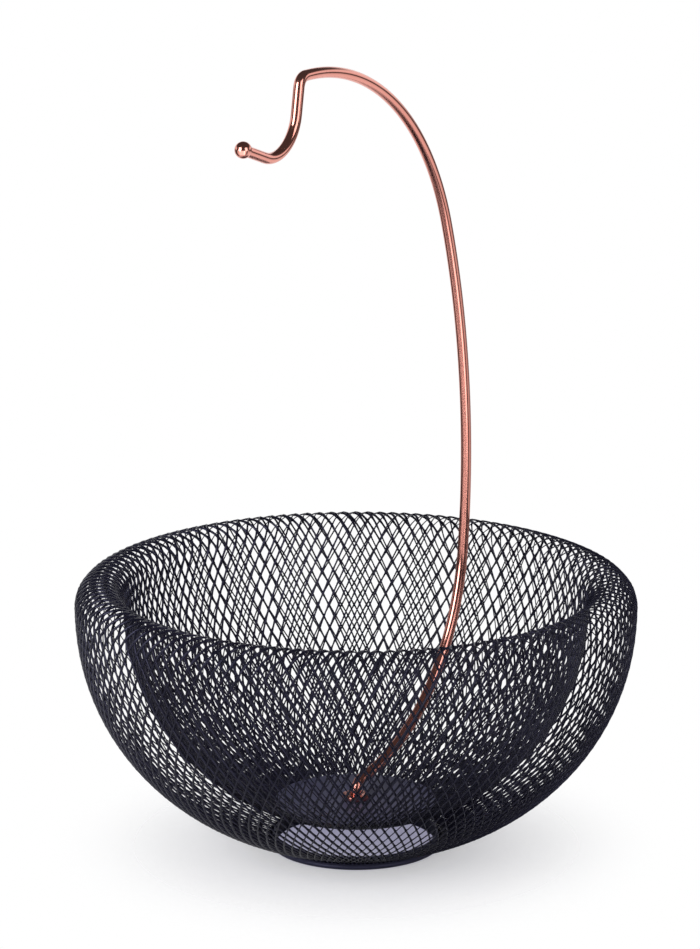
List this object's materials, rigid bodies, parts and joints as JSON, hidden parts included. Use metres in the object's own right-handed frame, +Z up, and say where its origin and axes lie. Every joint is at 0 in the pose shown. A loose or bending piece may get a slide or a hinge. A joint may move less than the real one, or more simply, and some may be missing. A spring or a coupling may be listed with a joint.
{
  "type": "fruit bowl with banana hook",
  "caption": "Round double-wall expanded-metal fruit bowl on an open ring foot, with a bent copper rod hook rising from its floor for hanging bananas.",
  "frame": {"origin": "on the bowl's axis, at the foot ring's underside", "axes": "+Z up along the bowl's axis; the hook lies in the XZ plane, its post on the +X side and its tip on the -X side"},
  "size_m": [0.3, 0.3, 0.429],
  "materials": {
    "black_mesh": "blue-black semi-gloss coating on expanded steel",
    "black_steel": "blue-black semi-gloss coating on plain steel",
    "copper": "polished rose-copper plating on steel rod",
    "zinc": "bright zinc plating"
  },
  "bodies": {
    "basket": {"mesh_sleeve": "black_mesh", "floor_plate": "black_steel", "clamp_plate": "black_steel", "foot_ring": "black_steel"},
    "hook": {"hook_rod": "copper", "hook_collar": "copper", "hook_ball": "copper"},
    "washers": {"flat_washer": "zinc", "spring_washer": "zinc"},
    "nut": {"thumb_nut": "zinc"}
  },
  "joints": [
    {"name": "hook_swivel", "type": "hinge", "parent": "basket", "child": "hook", "pos_m": [0, 0, 0.0245], "axis": [0, 0, 1], "continuous": true},
    {"name": "washer_drop", "type": "slide", "parent": "hook", "child": "washers", "axis": [0, 0, -1], "range_m": [0, 0.0032]},
    {"name": "nut_turn", "type": "hinge", "parent": "washers", "child": "nut", "pos_m": [0, 0, 0.0152], "axis": [0, 0, -1], "range_deg": [0, 1440]}
  ],
  "couplings": [
    {"joint": "washer_drop", "follows": "nut_turn", "m_per_rad": 0.0001273}
  ]
}
